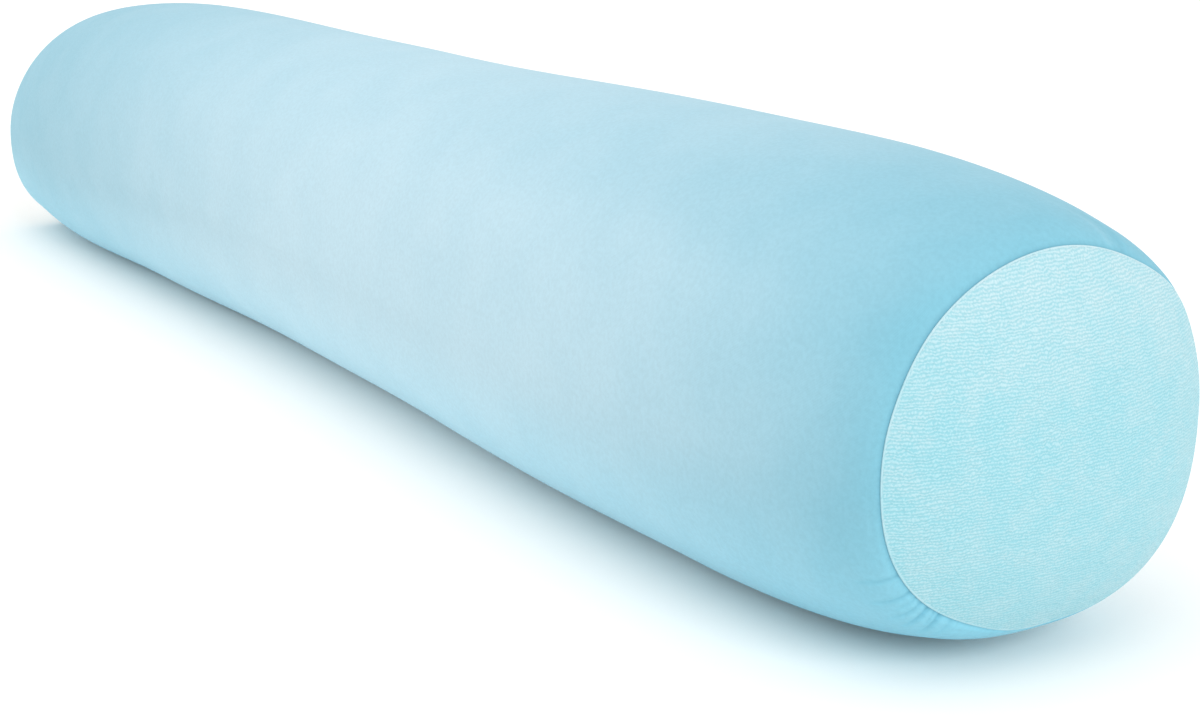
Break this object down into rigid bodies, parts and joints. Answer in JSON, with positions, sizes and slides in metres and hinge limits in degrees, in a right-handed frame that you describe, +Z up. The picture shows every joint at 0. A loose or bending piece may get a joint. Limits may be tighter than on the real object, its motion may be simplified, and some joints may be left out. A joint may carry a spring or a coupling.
{
  "type": "body pillow",
  "caption": "Long round bolster body pillow: a firmly filled tube of smooth stretch cloth, drawn in at both ends to round plush end panels, lying on its flattened underside.",
  "frame": {"origin": "on the surface the pillow lies on, below the middle of the pillow", "axes": "+X along the pillow's length towards the near end panel, +Y across it to the back, +Z up"},
  "size_m": [1.19, 0.2028, 0.196],
  "materials": {
    "tube_cloth": "smooth light blue stretch knit, matte satin",
    "plush_cloth": "pale aqua short-pile plush, matte"
  },
  "bodies": {
    "root": {"bolster_tube": "tube_cloth", "end_panel_near": "plush_cloth", "end_panel_far": "plush_cloth"}
  },
  "joints": []
}
